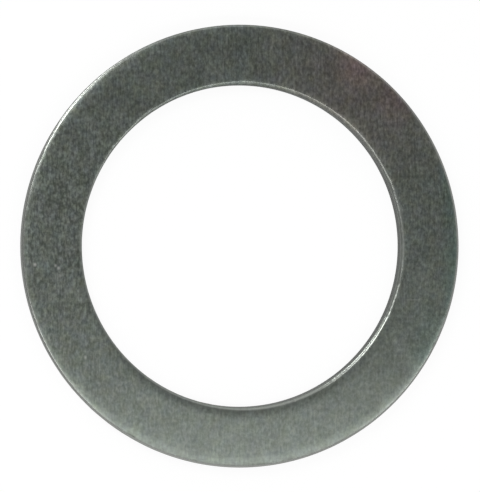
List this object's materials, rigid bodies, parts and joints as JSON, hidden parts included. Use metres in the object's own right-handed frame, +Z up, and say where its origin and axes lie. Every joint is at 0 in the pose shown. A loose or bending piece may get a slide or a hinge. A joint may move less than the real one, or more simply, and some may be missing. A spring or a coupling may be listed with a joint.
{
  "type": "shim ring",
  "caption": "Flat round steel spacer ring, blanked from strip, that takes up end play on a shaft or inside a bearing housing.",
  "frame": {"origin": "centre of the bottom face, on the surface that the ring lies on", "axes": "+Z up along the ring's axis, out of the face whose edges fall away; +Y along the strip's rolling grain; +X across it"},
  "size_m": [0.0249, 0.0248, 0.001],
  "materials": {
    "steel": "satin, cold rolled, with the rolling grain along Y"
  },
  "bodies": {
    "root": {"shim_ring": "steel"}
  },
  "joints": []
}
